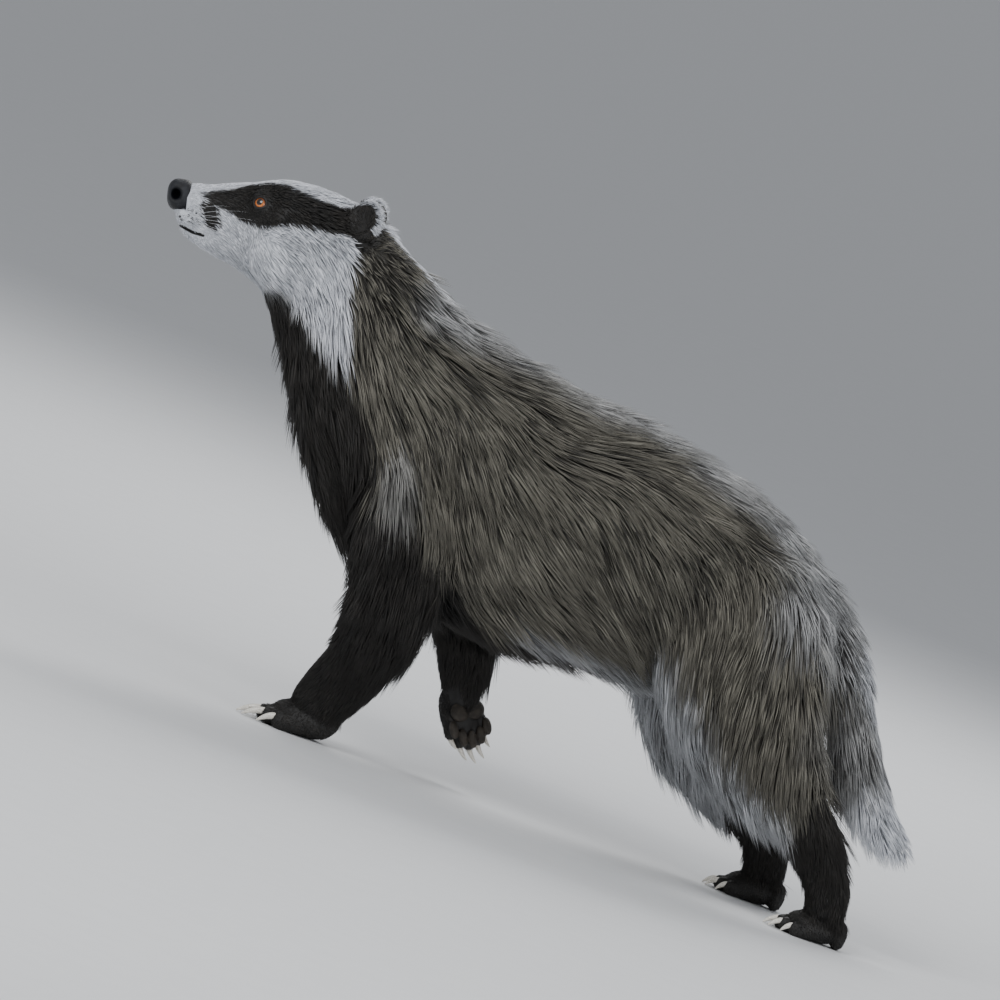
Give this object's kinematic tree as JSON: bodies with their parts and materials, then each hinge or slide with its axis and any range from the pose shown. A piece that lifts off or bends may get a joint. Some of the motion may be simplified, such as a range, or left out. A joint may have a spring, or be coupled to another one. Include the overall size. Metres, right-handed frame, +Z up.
{
  "type": "european badger, life-size still model",
  "caption": "Life-size badger standing on three paws with one forepaw lifted, snout forward and tail hanging, in a long shaggy coat.",
  "frame": {"origin": "middle of the bounding box at floor level", "axes": "the animal looks along -X, its left side is at -Y, +Z is up"},
  "size_m": [0.787, 0.2242, 0.4436],
  "materials": {
    "face_coat": "short dense hair, white with black bands through the eyes",
    "body_coat": "long coarse grizzled guard hair, grey with dark and pale tips",
    "leg_coat": "short black hair",
    "claw_horn": "pale horn, smooth and slightly translucent",
    "eye": "wet amber eye with a dark pupil",
    "nose_leather": "bare pebbled skin, slightly moist"
  },
  "bodies": {
    "root": {"head": "face_coat", "neck": "body_coat", "torso": "body_coat", "tail": "body_coat", "foreleg_left": "leg_coat", "foreleg_right": "leg_coat", "hindleg_left": "body_coat", "hindleg_right": "body_coat", "paw_fore_left": "leg_coat", "paw_fore_right": "leg_coat", "paw_hind_left": "leg_coat", "paw_hind_right": "leg_coat", "claw_fore_left_1": "claw_horn", "claw_fore_left_2": "claw_horn", "claw_fore_left_3": "claw_horn", "claw_fore_left_4": "claw_horn", "claw_fore_left_5": "claw_horn", "claw_fore_right_1": "claw_horn", "claw_fore_right_2": "claw_horn", "claw_fore_right_3": "claw_horn", "claw_fore_right_4": "claw_horn", "claw_fore_right_5": "claw_horn", "claw_hind_left_1": "claw_horn", "claw_hind_left_2": "claw_horn", "claw_hind_left_3": "claw_horn", "claw_hind_left_4": "claw_horn", "claw_hind_left_5": "claw_horn", "claw_hind_right_1": "claw_horn", "claw_hind_right_2": "claw_horn", "claw_hind_right_3": "claw_horn", "claw_hind_right_4": "claw_horn", "claw_hind_right_5": "claw_horn", "ear_left": "leg_coat", "ear_right": "leg_coat", "eye_left": "eye", "eye_right": "eye", "nose": "nose_leather"}
  },
  "joints": []
}
